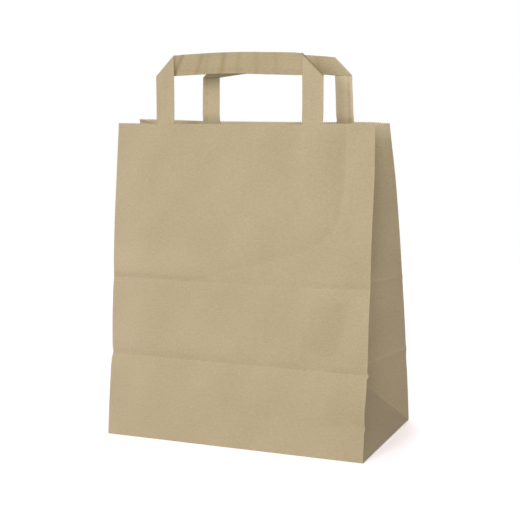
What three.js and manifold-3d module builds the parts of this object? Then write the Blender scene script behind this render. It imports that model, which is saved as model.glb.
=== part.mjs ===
// Kraft paper carrier bag with side gussets, a block bottom and two flat folded handles.
// Millimetres, +Z up. The front panel faces -Y. The origin is the middle of the base, on the ground.

import * as THREE from 'three';
import { mergeVertices } from 'three/addons/utils/BufferGeometryUtils.js';
import Module from 'manifold-3d';

// Bag: driving dimensions
const bagWidth = 250; // front and rear panels, edge to edge
const bagDepth = 140; // base from front to rear, which is also the paper width of one gusset
const frontLength = 292; // paper of the front panel, from the base edge to the rim
const rearRise = 2; // how much more paper the rear panel has, from its base edge to the rim
const paper = 0.15; // one layer of paper

// Bag: how the opened sheet stands
const foldPlay = 3; // paper taken up where the base is folded up flat against the bag
const leanBelow = 10.7; // degrees, front panel under the low crease
const leanBetween = 5.4; // degrees, front panel between its two creases
const leanAbove = 7.7; // degrees, front panel over the high crease
const rearLeanFoot = 7; // degrees, rear panel at the base
const rearLeanRim = 17; // degrees, rear panel at the rim
const rimBow = 5; // how far the middle of the front rim stands out

// Bag: pinked rim and the glued flaps under the base
const toothPitch = 2.5;
const toothDepth = 0.9;
const rimBand = 3; // height of the strip that carries the teeth
const flapLap = 24; // how far the two base flaps lap over each other
const flapBite = 0.075; // how far a base flap reaches into the layer above it

// Handles
const frontSpan = 161; // outer width over the two legs
const rearSpan = 148.5;
const frontTape = 18.5; // width of the folded tape
const rearTape = 17;
const frontShift = -5; // sideways place of the handle's middle, to the right as seen from outside
const rearShift = -16;
const handleRise = 58; // rim to the top edge of the handle
const tapeThickness = 0.6; // several layers of paper, folded and pressed
const tapeTuck = 80; // length of leg glued inside the bag
const foldGap = 0.3; // air between leg and strip at a corner fold
const stripArch = 2.5; // how far the strip rises in its middle
const handleLean = 1.5; // degrees, the free part of a handle towards the mouth
const settle = 14; // length over which a leg turns from the panel's lean to its own

// Patches that cover the glued legs
const patchMargin = 20; // patch beyond the outer edge of each leg
const patchHeight = 88;
const patchDrop = 4; // rim to the top edge of the patch
const patchSlope = 4; // width of the slope where the patch climbs over a leg

// Film of glue and air between neighbours
const clearance = 0.3;

// Fineness of the meshes
const gussetSteps = 5; // columns in half a gusset, and rows up to the tip of the folded corner
const panelSteps = 10; // columns across a panel
const weld = 1e-4; // points closer than this are one point

const halfWidth = bagWidth / 2;
const halfDepth = bagDepth / 2;
const rearLength = frontLength + rearRise;
const lowCrease = halfDepth + foldPlay; // paper height where the base is folded up
const highCrease = 2 * lowCrease; // paper height that the edge of the folded base marks
const wallFoot = 2 * paper; // level at which the walls start, on top of the two flaps
const rad = Math.PI / 180;

function mix(a, b, t) {
  return a + (b - a) * t;
}

// Smooth step from 0 at a to 1 at b
function ease(a, b, value) {
  const t = Math.min(1, Math.max(0, (value - a) / (b - a)));
  return t * t * (3 - 2 * t);
}

// Each panel is described outward and upward: out is the distance from the bag's middle plane.
// The front panel is three flat lengths that meet at its two creases.
function frontProfile(s) {
  const low = Math.min(s, lowCrease);
  const middle = Math.min(Math.max(s - lowCrease, 0), highCrease - lowCrease);
  const high = Math.max(s - highCrease, 0);
  const run = (f) => low * f(leanBelow * rad) + middle * f(leanBetween * rad) + high * f(leanAbove * rad);
  return { out: halfDepth - run(Math.sin), z: wallFoot + run(Math.cos) };
}

// The rear panel bends evenly, so its section is an arc.
function rearProfile(s) {
  const foot = rearLeanFoot * rad;
  const bend = ((rearLeanRim - rearLeanFoot) * rad) / rearLength;
  const angle = foot + bend * s;
  return {
    out: halfDepth - (Math.cos(foot) - Math.cos(angle)) / bend,
    z: wallFoot + (Math.sin(angle) - Math.sin(foot)) / bend,
  };
}

// The two sides of the bag, each with its own way of turning outward distances into Y.
const front = {
  length: frontLength,
  profile: frontProfile,
  bow: rimBow,
  place: (u, out, z) => new THREE.Vector3(u, -out, z),
};
const rear = {
  length: rearLength,
  profile: rearProfile,
  bow: 0,
  place: (u, out, z) => new THREE.Vector3(-u, out, z),
};

// Outer face of a panel: u runs to the right as seen from outside, s up the paper.
function panelSection(side, u, s) {
  const p = side.profile(s);
  const bow = side.bow * Math.cos((Math.PI * u) / bagWidth) * ease(highCrease, side.length, s);
  return { out: p.out + bow, z: p.z };
}

function panelPoint(side, u, s) {
  const p = panelSection(side, u, s);
  return side.place(u, p.out, p.z);
}

// Share of the full height, so that rows of the front and the rear meet at the rim
function edgePoint(side, sign, height) {
  const u = side === front ? sign * halfWidth : -sign * halfWidth;
  return panelPoint(side, u, (height * side.length) / frontLength);
}

// Drop of the gusset's centre crease below its edges. It comes from the corner triangle, which keeps
// its shape while it swings in about the base edge.
function creaseDrop() {
  const a = edgePoint(front, 1, halfDepth);
  const b = edgePoint(rear, 1, halfDepth);
  const level = (a.z + b.z) / 2 - wallFoot;
  const reach = (b.y - a.y) / 2;
  return (level * level - reach * reach) / (2 * level);
}

// Centre crease of a gusset at paper height s: each half keeps its paper width.
function creasePoint(sign, s) {
  const a = edgePoint(front, sign, s);
  const b = edgePoint(rear, sign, s);
  const drop = creaseDrop();
  const reach = (b.y - a.y) / 2;
  const inset = Math.sqrt(halfDepth * halfDepth - reach * reach - drop * drop);
  return new THREE.Vector3(sign * (halfWidth - inset), (a.y + b.y) / 2, (a.z + b.z) / 2 - drop);
}

// Gusset: v runs from the front edge, 0, to the rear edge, bagDepth.
// Under the folded corner's tip the sheet is a triangle hinged on the base and two side pieces.
function gussetPoint(sign, v, s) {
  const a = edgePoint(front, sign, s);
  const b = edgePoint(rear, sign, s);
  if (s >= halfDepth) {
    const c = creasePoint(sign, s);
    if (v <= halfDepth) {
      return a.lerp(c, v / halfDepth);
    }
    return c.lerp(b, (v - halfDepth) / halfDepth);
  }
  const tip = creasePoint(sign, halfDepth);
  const frontFold = edgePoint(front, sign, 0).lerp(tip, s / halfDepth);
  const rearFold = edgePoint(rear, sign, 0).lerp(tip, s / halfDepth);
  if (v < s) {
    return a.lerp(frontFold, v / s);
  }
  if (v > bagDepth - s) {
    return b.lerp(rearFold, (bagDepth - v) / s);
  }
  return frontFold.lerp(rearFold, (v - s) / (bagDepth - 2 * s));
}

// One point of the tube. The way round starts at the front left edge and runs counter-clockwise
// as seen from above: front panel, right gusset, rear panel, left gusset.
function tubePoint(column, s) {
  const rearHeight = (s * rearLength) / frontLength;
  if (column.wall === 'front') {
    return panelPoint(front, mix(-halfWidth, halfWidth, column.share), s);
  }
  if (column.wall === 'right') {
    return gussetPoint(1, column.share * bagDepth, s);
  }
  if (column.wall === 'rear') {
    return panelPoint(rear, mix(-halfWidth, halfWidth, column.share), rearHeight);
  }
  return gussetPoint(-1, (1 - column.share) * bagDepth, s);
}

function tubeColumns() {
  const columns = [];
  for (const wall of ['front', 'right', 'rear', 'left']) {
    const steps = wall === 'front' || wall === 'rear' ? panelSteps : 2 * gussetSteps;
    for (let i = 0; i < steps; i += 1) {
      columns.push({ wall, share: i / steps });
    }
  }
  return columns;
}

// Paper heights of the rows: close together at the folded corners, then at the creases and the rim
function tubeRows() {
  const rows = [];
  for (let i = 0; i <= gussetSteps; i += 1) {
    rows.push((halfDepth * i) / gussetSteps);
  }
  rows.push(lowCrease);
  rows.push(mix(lowCrease, highCrease, 0.5));
  rows.push(highCrease);
  rows.push(mix(highCrease, frontLength, 1 / 3));
  rows.push(mix(highCrease, frontLength, 2 / 3));
  rows.push(frontLength - rimBand);
  return rows;
}

// Offset of a corner that moves every face around it inward by one layer of paper
function mitre(normals) {
  const m = new Array(9).fill(0);
  const sum = new THREE.Vector3();
  for (const n of normals) {
    const c = n.toArray();
    for (let i = 0; i < 9; i += 1) {
      m[i] += c[Math.floor(i / 3)] * c[i % 3];
    }
    sum.add(n);
  }
  const soft = 1e-4; // keeps the matrix solvable where all faces lie in one plane
  m[0] += soft;
  m[4] += soft;
  m[8] += soft;
  return sum.multiplyScalar(-paper).applyMatrix3(new THREE.Matrix3().set(...m).invert());
}

// The folded sheet as one closed shell with its pinked rim
function bagShell() {
  const columns = tubeColumns();
  const rows = tubeRows();
  const count = columns.length;
  const outer = [];
  const faces = [];

  // outer face of the tube
  for (const s of rows) {
    for (const column of columns) {
      outer.push(tubePoint(column, s));
    }
  }
  for (let r = 0; r + 1 < rows.length; r += 1) {
    for (let c = 0; c < count; c += 1) {
      const a = r * count + c;
      const b = r * count + ((c + 1) % count);
      const gusset = columns[c].wall === 'right' || columns[c].wall === 'left';
      if (gusset && columns[c].share >= 0.5) {
        faces.push([a, b, a + count], [b, b + count, a + count]);
      } else {
        faces.push([a, b, b + count], [a, b + count, a + count]);
      }
    }
  }

  // outer face of the base
  outer.push(new THREE.Vector3(0, 0, wallFoot));
  const middle = outer.length - 1;
  for (let c = 0; c < count; c += 1) {
    faces.push([middle, (c + 1) % count, c]);
  }

  // inner face, one layer further in
  const around = outer.map(() => []);
  for (const [i, j, k] of faces) {
    const e1 = outer[j].clone().sub(outer[i]);
    const e2 = outer[k].clone().sub(outer[i]);
    const normal = e1.cross(e2).normalize();
    for (const corner of [i, j, k]) {
      around[corner].push(normal);
    }
  }
  const shifts = around.map(mitre);
  const points = outer.concat(outer.map((p, i) => p.clone().add(shifts[i])));
  const inner = outer.length;
  const triangles = faces.concat(faces.map(([i, j, k]) => [inner + i, inner + k, inner + j]));

  // teeth of the rim: each gap between two columns carries a whole number of teeth
  const last = (rows.length - 1) * count;
  for (let c = 0; c < count; c += 1) {
    const next = (c + 1) % count;
    const pair = [last + c, last + next];
    const tops = [tubePoint(columns[c], frontLength), tubePoint(columns[next], frontLength)];
    const teeth = Math.max(1, Math.round(tops[0].distanceTo(tops[1]) / toothPitch));
    const rise = tops.map((top, i) => top.clone().sub(outer[pair[i]]));
    const line = [];
    for (let i = 0; i <= 2 * teeth; i += 1) {
      const share = i / (2 * teeth);
      const full = i % 2 === 1 ? 1 : 1 - toothDepth / rimBand;
      const foot = outer[pair[0]].clone().lerp(outer[pair[1]], share);
      const shift = shifts[pair[0]].clone().lerp(shifts[pair[1]], share);
      const top = foot.addScaledVector(rise[0].clone().lerp(rise[1], share), full);
      points.push(top, top.clone().add(shift));
      line.push(points.length - 2);
    }
    for (let i = 0; i < 2 * teeth; i += 1) {
      const foot = i < teeth ? pair[0] : pair[1];
      triangles.push([foot, line[i + 1], line[i]]);
      triangles.push([inner + foot, line[i] + 1, line[i + 1] + 1]);
      triangles.push([line[i], line[i + 1], line[i + 1] + 1], [line[i], line[i + 1] + 1, line[i] + 1]);
    }
    triangles.push([pair[0], pair[1], line[teeth]]);
    triangles.push([inner + pair[0], line[teeth] + 1, inner + pair[1]]);
  }
  return meshGeometry(points, triangles);
}

// Closed geometry from corner points and triangles, with equal points made one
function meshGeometry(points, triangles) {
  const geometry = new THREE.BufferGeometry();
  const flat = new Float32Array(points.flatMap((p) => p.toArray()));
  geometry.setAttribute('position', new THREE.BufferAttribute(flat, 3));
  geometry.setIndex(triangles.flat());
  return mergeVertices(geometry, weld);
}

// A base flap seen from below: the full base edge, narrowing at 45 degrees to its free edge
function baseFlap(side, reach, bottom) {
  const outline = new THREE.Shape();
  outline.moveTo(-halfWidth, -halfDepth);
  outline.lineTo(halfWidth, -halfDepth);
  outline.lineTo(halfWidth - reach, reach - halfDepth);
  outline.lineTo(reach - halfWidth, reach - halfDepth);
  outline.closePath();
  const plate = new THREE.ExtrudeGeometry(outline, { depth: paper + flapBite, bevelEnabled: false });
  if (side === rear) {
    plate.rotateZ(Math.PI);
  }
  plate.translate(0, 0, bottom);
  return plate;
}

// Joins closed geometries into one solid
const wasm = await Module();
wasm.setup();

function toSolid(geometry) {
  const bare = geometry.clone();
  bare.deleteAttribute('normal');
  bare.deleteAttribute('uv');
  const merged = mergeVertices(bare, weld);
  return new wasm.Manifold(
    new wasm.Mesh({
      numProp: 3,
      vertProperties: new Float32Array(merged.attributes.position.array),
      triVerts: new Uint32Array(merged.index.array),
    }),
  );
}

function fromSolid(solid) {
  const mesh = solid.getMesh();
  const geometry = new THREE.BufferGeometry();
  geometry.setAttribute('position', new THREE.BufferAttribute(new Float32Array(mesh.vertProperties), 3));
  geometry.setIndex(Array.from(mesh.triVerts));
  return geometry;
}

function bagBody() {
  const reach = (bagDepth + flapLap) / 2;
  const frontFlap = toSolid(baseFlap(front, reach, paper));
  const rearFlap = toSolid(baseFlap(rear, reach, 0));
  return fromSolid(toSolid(bagShell()).add(frontFlap).add(rearFlap));
}

// Place on or above a panel's inner side. w is measured up the paper from the rim; under the rim the
// tape lies on the panel, over it the tape turns from the panel's lean to its own.
function tapePoint(side, u, w, depth) {
  const rim = panelSection(side, u, side.length);
  const below = panelSection(side, u, side.length - 1);
  const panelLean = Math.atan2(below.out - rim.out, rim.z - below.z);
  if (w <= 0) {
    const p = panelSection(side, u, side.length + w);
    return side.place(u, p.out - depth * Math.cos(panelLean), p.z - depth * Math.sin(panelLean));
  }
  const turned = Math.min(w, settle);
  const turn = (handleLean * rad - panelLean) / settle;
  const lean = panelLean + turn * turned;
  const curve = turned * (panelLean + (turn * turned) / 2);
  const out = rim.out - depth * Math.cos(lean) - curve - (w - turned) * Math.sin(handleLean * rad);
  const z = rim.z - depth * Math.sin(lean) + w;
  return side.place(u, out, z);
}

// A handle is one length of tape: up the left leg, folded over at 45 degrees, along the strip on the
// inner side of the legs, folded again and down the right leg. Each station of the tape has a point
// on both edges, and the side of the tape that faces out of the bag on the legs.
function handleStations(side, span, tape, shift) {
  const outward = side.place(0, 1, 0);
  const legDepth = paper + clearance + tapeThickness / 2;
  const stripDepth = legDepth + tapeThickness + foldGap;
  const low = handleRise - tape;
  const stations = [];
  const add = (a, b, facing) => stations.push({ a, b, facing });
  const arch = (u) => stripArch * Math.max(0, 1 - ((u - shift) / (span / 2 - tape)) ** 2);

  // heights of the leg's stations from the glued end to the corner
  const legHeights = [-tapeTuck, -0.75 * tapeTuck, -0.5 * tapeTuck, -0.25 * tapeTuck, 0];
  legHeights.push(settle / 3, (2 * settle) / 3, settle, mix(settle, low, 0.5), low);
  const cornerSteps = [0.25, 0.5, 0.75, 1];
  const foldAngles = [30, 60, 90, 120, 150, 180];
  const stripSteps = 12;

  // the leg and the two faces of a corner fold, for the left (-1) or the right (1) end
  const corner = (end) => {
    const outerU = shift + (end * span) / 2;
    const innerU = outerU - end * tape;
    const leg = [];
    for (const w of legHeights) {
      leg.push([tapePoint(side, outerU, w, legDepth), tapePoint(side, innerU, w, legDepth), outward]);
    }
    for (const t of cornerSteps) {
      const top = tapePoint(side, innerU, low + tape * t, legDepth);
      leg.push([tapePoint(side, outerU, low, legDepth), top, outward]);
    }
    // half a turn about the diagonal, from the leg's plane to the strip's
    const pivot = (u, w) => tapePoint(side, u, w, (legDepth + stripDepth) / 2);
    const away = side.place(end, 0, 1).normalize();
    const radius = (stripDepth - legDepth) / 2;
    for (const angle of foldAngles) {
      const facing = outward.clone().multiplyScalar(Math.cos(angle * rad));
      facing.addScaledVector(away, Math.sin(angle * rad));
      const a = pivot(outerU, low).addScaledVector(facing, radius);
      const b = pivot(innerU, handleRise).addScaledVector(facing, radius);
      leg.push([a, b, facing]);
    }
    for (const t of cornerSteps.slice(0, -1)) {
      const foot = tapePoint(side, mix(outerU, innerU, t), low, stripDepth);
      leg.push([foot, tapePoint(side, innerU, handleRise, stripDepth), outward.clone().negate()]);
    }
    return { leg, innerU };
  };

  const left = corner(-1);
  const right = corner(1);
  left.leg.forEach(([a, b, facing]) => add(a, b, facing));
  for (let i = 0; i <= stripSteps; i += 1) {
    const u = mix(left.innerU, right.innerU, i / stripSteps);
    const lift = arch(u);
    const a = tapePoint(side, u, low + lift, stripDepth);
    const b = tapePoint(side, u, handleRise + lift, stripDepth);
    add(a, b, outward.clone().negate());
  }
  right.leg.reverse().forEach(([a, b, facing]) => add(a, b, facing));
  return stations;
}

// Solid tape through its stations, with square edges
function handle(side, span, tape, shift) {
  const points = [];
  const triangles = [];
  const stations = handleStations(side, span, tape, shift);
  for (const { a, b, facing } of stations) {
    const half = facing.clone().multiplyScalar(tapeThickness / 2);
    points.push(a.clone().add(half), b.clone().add(half), b.clone().sub(half), a.clone().sub(half));
  }
  for (let i = 0; i + 1 < stations.length; i += 1) {
    for (let k = 0; k < 4; k += 1) {
      const p = 4 * i + k;
      const q = 4 * i + ((k + 1) % 4);
      triangles.push([p, q, q + 4], [p, q + 4, p + 4]);
    }
  }
  const end = points.length - 4;
  triangles.push([0, 2, 1], [0, 3, 2], [end, end + 1, end + 2], [end, end + 2, end + 3]);
  return meshGeometry(points, triangles);
}

// Patch glued over the two legs: it lies on the panel and climbs over each leg
function handlePatch(side, span, tape, shift) {
  const legEdges = [-span / 2, tape - span / 2, span / 2 - tape, span / 2].map((u) => u + shift);
  const edge = span / 2 + patchMargin;
  const over = paper + 2 * clearance + tapeThickness;
  const on = paper + clearance;
  const knots = [[shift - edge, on]];
  for (const [a, b] of [legEdges.slice(0, 2), legEdges.slice(2)]) {
    knots.push([a - clearance - patchSlope, on], [a - clearance, over]);
    knots.push([b + clearance, over], [b + clearance + patchSlope, on]);
  }
  knots.splice(5, 0, [mix(legEdges[1], legEdges[2], 0.25), on], [shift, on]);
  knots.splice(7, 0, [mix(legEdges[1], legEdges[2], 0.75), on]);
  knots.push([shift + edge, on]);
  const heights = [0, 0.5, 1].map((t) => -patchDrop - patchHeight * (1 - t));
  const points = [];
  for (const extra of [0, paper]) {
    for (const w of heights) {
      for (const [u, depth] of knots) {
        points.push(tapePoint(side, u, w, depth + extra));
      }
    }
  }
  const across = knots.length;
  const inner = across * heights.length;
  const triangles = [];
  const quad = (a, b, c, d) => triangles.push([a, b, c], [a, c, d]);
  for (let r = 0; r + 1 < heights.length; r += 1) {
    for (let c = 0; c + 1 < across; c += 1) {
      const p = r * across + c;
      quad(p, p + 1, p + across + 1, p + across);
      quad(inner + p, inner + p + across, inner + p + across + 1, inner + p + 1);
    }
    const left = r * across;
    const right = left + across - 1;
    quad(left, left + across, inner + left + across, inner + left);
    quad(right, inner + right, inner + right + across, right + across);
  }
  for (let c = 0; c + 1 < across; c += 1) {
    const top = inner - across + c;
    quad(c, inner + c, inner + c + 1, c + 1);
    quad(top, top + 1, inner + top + 1, inner + top);
  }
  return meshGeometry(points, triangles);
}

const kraft = new THREE.MeshStandardMaterial({ color: 0xbeae8c, roughness: 0.88, metalness: 0 });
const kraftTape = new THREE.MeshStandardMaterial({ color: 0xbbaa86, roughness: 0.86, metalness: 0 });
const kraftInside = new THREE.MeshStandardMaterial({ color: 0xc2b290, roughness: 0.9, metalness: 0 });

function part(name, geometry, material) {
  geometry.computeVertexNormals();
  const mesh = new THREE.Mesh(geometry, material);
  mesh.name = name;
  return mesh;
}

const group = new THREE.Group();
group.add(part('bag_body', bagBody(), kraft));
group.add(part('front_handle', handle(front, frontSpan, frontTape, frontShift), kraftTape));
group.add(part('rear_handle', handle(rear, rearSpan, rearTape, rearShift), kraftTape));
group.add(part('front_handle_patch', handlePatch(front, frontSpan, frontTape, frontShift), kraftInside));
group.add(part('rear_handle_patch', handlePatch(rear, rearSpan, rearTape, rearShift), kraftInside));

export default group;
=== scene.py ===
import bmesh
import bpy
import numpy as np
from mathutils import Matrix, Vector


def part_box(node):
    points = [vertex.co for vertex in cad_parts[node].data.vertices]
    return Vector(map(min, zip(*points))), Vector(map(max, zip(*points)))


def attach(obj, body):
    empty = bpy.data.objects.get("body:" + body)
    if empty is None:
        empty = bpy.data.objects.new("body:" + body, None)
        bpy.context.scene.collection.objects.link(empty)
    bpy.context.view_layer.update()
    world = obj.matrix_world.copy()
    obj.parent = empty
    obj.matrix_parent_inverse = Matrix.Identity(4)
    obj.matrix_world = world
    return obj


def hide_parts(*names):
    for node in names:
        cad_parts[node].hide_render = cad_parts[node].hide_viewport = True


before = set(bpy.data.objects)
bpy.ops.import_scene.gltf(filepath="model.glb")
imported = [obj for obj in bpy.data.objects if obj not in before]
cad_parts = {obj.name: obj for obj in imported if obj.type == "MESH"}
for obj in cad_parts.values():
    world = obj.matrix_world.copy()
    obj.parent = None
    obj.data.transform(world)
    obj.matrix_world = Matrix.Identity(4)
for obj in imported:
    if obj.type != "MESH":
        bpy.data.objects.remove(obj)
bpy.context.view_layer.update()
mm = 0.001
bagLow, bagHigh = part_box("bag_body")
print("frame loaded")


# Helpers for arrays

def ease(a, b, x):
    # smooth step: 0 at a, 1 at b, and three times t squared minus twice t cubed between them
    t = np.clip((x - a) / (b - a), 0.0, 1.0)
    return t * t * (3.0 - 2.0 * t)


def bell(x, centre, width):
    # bell curve: exp of minus the distance over the width, squared
    return np.exp(-(((x - centre) / width) ** 2))


def bumps(x, rows):
    # sum of bell curves, each row giving height, centre and width
    return sum(height * bell(x, centre, width) for height, centre, width in rows)


def blendTo(a, b, t):
    # a where t is 0, b where it is 1, and evenly in between
    return a + (b - a) * t


def softWaves(a, b, seed, shortest, longest):
    # sum of seven sine waves in random directions over a and b, scaled to about -1 to 1
    count = 7
    draw = np.random.default_rng(seed)
    turns = draw.uniform(0, np.pi, count)
    lengths = draw.uniform(shortest, longest, count)
    starts = draw.uniform(0, 6.28, count)
    total = 0
    for turn, length, start in zip(turns, lengths, starts):
        total = total + np.sin(2 * np.pi * (a * np.cos(turn) + b * np.sin(turn)) / length + start)
    return total / count ** 0.5 / 1.4


def unit(v):
    # each vector over its length
    return v / np.maximum(np.linalg.norm(v, axis=-1, keepdims=True), 1e-9)


def gridNormals(points, ring=False):
    # cross product of the differences along the columns and along the rows
    if ring:
        across = np.roll(points, -1, 1) - np.roll(points, 1, 1)
    else:
        across = np.gradient(points, axis=1)
    return unit(np.cross(across, np.gradient(points, axis=0)))


def stations(start, end, step, extra=()):
    # even steps from start to end, with the extra places put in and the even ones too near them left out
    even = np.linspace(start, end, int(round((end - start) / step)) + 1)
    if len(extra):
        near = np.abs(even[:, None] - np.array(extra)[None, :]).min(1) < 0.4 * step
        near[[0, -1]] = False
        even = np.concatenate([even[~near], extra])
    return np.unique(even)


# Meshes

def gridQuads(index, ring=False):
    # corner numbers of the quads of a grid, columns to the right and rows up
    here = index if ring else index[:, :-1]
    right = np.roll(index, -1, 1) if ring else index[:, 1:]
    return np.stack([here[:-1], right[:-1], right[1:], here[1:]], -1).reshape(-1, 4)


def paperMasks(fold, tone, inner=0.0):
    # fold is 0 to 1, for creases and paper edges. Tone is under 0 for darker colour and over 0 for paler,
    # one
    # unit being about 7 levels of 255: the paper's own uneven tone, and painted light and shade. Inner is
    # added to the tone inside.
    return np.stack(np.broadcast_arrays(fold, tone, tone + inner), -1)


def thinShell(outer, masks, thick, ring=False):
    # a closed thin sheet: the outer grid, the same grid moved in by the thickness, and strips along the
    # borders between the two
    inner = outer - thick * gridNormals(outer, ring)
    index = np.arange(masks[..., 0].size).reshape(masks.shape[:2])
    back = index + index.size
    faces = [gridQuads(index, ring), gridQuads(back, ring)[:, ::-1]]
    faces.append(gridQuads(np.stack([back[0], index[0]]), ring))
    faces.append(gridQuads(np.stack([index[-1], back[-1]]), ring))
    if not ring:
        faces.append(gridQuads(np.stack([back[:, 0], index[:, 0]], 1)))
        faces.append(gridQuads(np.stack([index[:, -1], back[:, -1]], 1)))
    points = np.concatenate([outer.reshape(-1, 3), inner.reshape(-1, 3)])
    flat = masks.reshape(-1, 3)
    return points, np.concatenate(faces), np.concatenate([flat[:, [0, 1]], flat[:, [0, 2]]])


def joinShells(shells):
    # several shells as one set of points and faces, the faces renumbered
    starts = np.cumsum([0] + [len(points) for points, _, _ in shells[:-1]])
    faces = np.concatenate([quads + start for (_, quads, _), start in zip(shells, starts)])
    return np.concatenate([s[0] for s in shells]), faces, np.concatenate([s[2] for s in shells])


meshLook = {
    "weld": 0.002,  # points nearer than this are one
    "sheetAngle": 35.0,  # degrees; folds over it stay crisp
    "tapeAngle": 50.0,
}


def makePiece(name, shell, material, node, sharp=meshLook["sheetAngle"]):
    # a mesh object from points in millimetres, with its two masks as attributes
    points, faces, masks = shell
    surface = bpy.data.meshes.new(name)
    surface.from_pydata((points * mm).tolist(), [], faces.tolist())
    for key, values in zip(("fold", "tone"), masks.T):
        mask = surface.attributes.new(key, "FLOAT", "POINT")
        mask.data.foreach_set("value", np.ascontiguousarray(values, float))
    work = bmesh.new()
    work.from_mesh(surface)
    bmesh.ops.remove_doubles(work, verts=work.verts, dist=meshLook["weld"] * mm)
    bmesh.ops.recalc_face_normals(work, faces=work.faces)
    work.to_mesh(surface)
    work.free()
    surface.shade_smooth()
    surface.set_sharp_from_angle(angle=np.radians(sharp))
    surface.materials.append(material)
    piece = bpy.data.objects.new(name, surface)
    bpy.context.scene.collection.objects.link(piece)
    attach(piece, "root")
    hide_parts(node)
    print("made", name, "with", len(surface.polygons), "faces")


# Materials

def nodeAdd(tree, kind, inputs=None, **settings):
    # a shader node with its settings; each input is a fixed value, or the output that feeds it
    node = tree.nodes.new("ShaderNode" + kind)
    for key, value in settings.items():
        setattr(node, key, value)
    for key, given in (inputs or {}).items():
        if isinstance(given, bpy.types.NodeSocket):
            tree.links.new(given, node.inputs[key])
        else:
            node.inputs[key].default_value = given
    return node


def maths(tree, operation, *inputs, **settings):
    # one step of arithmetic on numbers and outputs
    return nodeAdd(tree, "Math", dict(enumerate(inputs)), operation=operation, **settings).outputs[0]


def noise(tree, place, scale, detail, distortion=0.0):
    # cloudy noise of 0 to 1, scale waves to the metre
    inputs = {"Vector": place, "Scale": scale, "Detail": detail, "Distortion": distortion}
    return nodeAdd(tree, "TexNoise", inputs).outputs[0]


def mapRange(tree, value, start, end, low=0.0, high=1.0, **settings):
    # low where the value is at start, high where it is at end
    inputs = {0: value, 1: start, 2: end, 3: low, 4: high}
    return nodeAdd(tree, "MapRange", inputs, **settings).outputs[0]


def mixColour(tree, factor, a, b, **settings):
    # colour a where the factor is 0, colour b where it is 1
    return nodeAdd(tree, "Mix", {0: factor, 6: a, 7: b}, data_type="RGBA", **settings).outputs[2]


def mixShader(tree, factor, a, b):
    # shader a where the factor is 0, shader b where it is 1
    return nodeAdd(tree, "MixShader", {0: factor, 1: a, 2: b}).outputs[0]


def newGroup(name, inputs, outputs):
    # an empty node group; inputs and outputs give the name and the kind of each socket
    tree = bpy.data.node_groups.new(name, "ShaderNodeTree")
    for direction, sockets in (("INPUT", inputs), ("OUTPUT", outputs)):
        for socket, kind in sockets.items():
            tree.interface.new_socket(socket, in_out=direction, socket_type="NodeSocket" + kind)
    given = tree.nodes.new("NodeGroupInput").outputs
    return tree, given, tree.nodes.new("NodeGroupOutput").inputs


pulp = {
    "cloud": 70.0,  # waves to the metre, as the next three
    "fibre": 420.0,
    "grain": 1500.0,
    "wear": 240.0,
    "shive": 170.0,  # cells to the metre, few of them with a shive
    "lie": (1.0, 1.0, 2.6),  # squeezes the fibres, so that they lie across the web
    "wander": 0.6,  # how much they bend
    "shiveSize": (0.13, 0.05),  # in cells, from the end to the full dark of a shive
    "shiveShare": (0.88, 0.96),  # cells over the second share have a full shive, under the first none
    "wearPatches": (0.3, 0.75),
    "rough": (0.8, 0.95),
}


def kraftFibreGroup():
    # cloudy formation, fibres, fine grain and a few dark shives. The mix from deep to pale is a half, plus
    # half the tone, plus each noise less a half and times its strength.
    inputs = {"Vector": "Vector", "Pale": "Color", "Deep": "Color", "Shive": "Color", "Tone": "Float",
              "Cloud": "Float", "Fibre": "Float", "Grain": "Float", "Shives": "Float"}
    outputs = {"Color": "Color", "Roughness": "Float", "Height": "Float"}
    tree, given, out = newGroup("kraftFibre", inputs, outputs)
    place = given["Vector"]
    along = nodeAdd(tree, "Mapping", {"Vector": place, "Scale": pulp["lie"]}).outputs[0]
    cloud = noise(tree, place, pulp["cloud"], 3.0)
    fibre = noise(tree, along, pulp["fibre"], 3.0, pulp["wander"])
    grain = noise(tree, place, pulp["grain"], 2.0)
    share = maths(tree, "MULTIPLY_ADD", given["Tone"], 0.5, 0.5)
    for value, strength in ((cloud, "Cloud"), (fibre, "Fibre"), (grain, "Grain")):
        centred = maths(tree, "SUBTRACT", value, 0.5)
        share = maths(tree, "MULTIPLY_ADD", centred, given[strength], share)
    paper = mixColour(tree, share, given["Deep"], given["Pale"], clamp_factor=False)
    cells = nodeAdd(tree, "TexVoronoi", {"Vector": along, "Scale": pulp["shive"]}).outputs
    pick = nodeAdd(tree, "SeparateColor", {0: cells["Color"]}).outputs[0]
    speck = maths(tree, "MULTIPLY", mapRange(tree, cells["Distance"], *pulp["shiveSize"]),
                  mapRange(tree, pick, *pulp["shiveShare"]))
    speck = maths(tree, "MULTIPLY", speck, given["Shives"])
    tree.links.new(mixColour(tree, speck, paper, given["Shive"]), out["Color"])
    tree.links.new(mapRange(tree, fibre, 0.0, 1.0, *pulp["rough"]), out["Roughness"])
    tree.links.new(maths(tree, "ADD", fibre, grain), out["Height"])
    return tree


def foldWearAndShadeGroup():
    # along a fold the colour goes to the fold colour in short patches, by the fold mask times a ragged
    # noise: on the sheet and the patches paler worn fibres, on the tape painted shade along its folds and
    # dark lap lines
    inputs = {"Vector": "Vector", "Color": "Color", "Wornandshaded": "Color", "Fold": "Float", "Wear": "Float"}
    tree, given, out = newGroup("foldWearAndShade", inputs, {"Color": "Color"})
    patches = noise(tree, given["Vector"], pulp["wear"], 3.0)
    ragged = mapRange(tree, patches, *pulp["wearPatches"])
    mask = maths(tree, "MULTIPLY", ragged, given["Fold"])
    worn = maths(tree, "MULTIPLY", mask, given["Wear"], use_clamp=True)
    tree.links.new(mixColour(tree, worn, given["Color"], given["Wornandshaded"]), out["Color"])
    return tree


def linear(red, green, blue):
    # colour of 0 to 255 as written in a paint program, made linear for the nodes
    c = np.array([red, green, blue]) / 255.0
    c = np.where(c <= 0.04045, c / 12.92, ((c + 0.055) / 1.055) ** 2.4)
    return (*c.tolist(), 1.0)


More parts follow.
